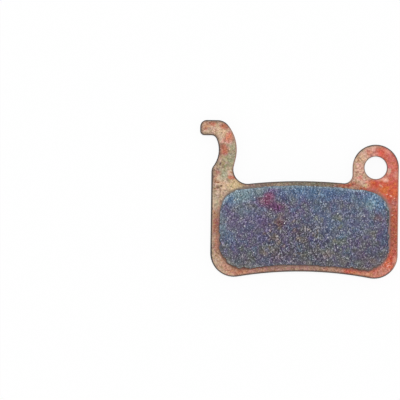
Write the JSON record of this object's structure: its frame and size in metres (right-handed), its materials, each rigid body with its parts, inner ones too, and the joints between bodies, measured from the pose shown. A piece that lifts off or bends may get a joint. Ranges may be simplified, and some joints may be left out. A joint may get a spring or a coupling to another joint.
{
  "type": "bicycle disc brake pad",
  "caption": "Disc brake pad: a stamped steel backing plate with a pin eye and a hooked arm carries a flat sintered friction block keyed into it, which a piston presses on the rotor.",
  "frame": {"origin": "on the piston axis, at the back face of the backing plate", "axes": "+Z out of the friction face towards the rotor, +Y away from the rotor axis, +X from the hook towards the pin eye"},
  "size_m": [0.0387, 0.0305, 0.004],
  "materials": {
    "backing_plate": "stamped steel, dark grey paint on the back and edges, copper-plated and heat-tinted front",
    "friction": "sintered metal compound, coarse grain, with blue, purple and tan heat tints"
  },
  "bodies": {
    "root": {"backing_plate": "backing_plate", "friction_block": "friction"}
  },
  "joints": []
}
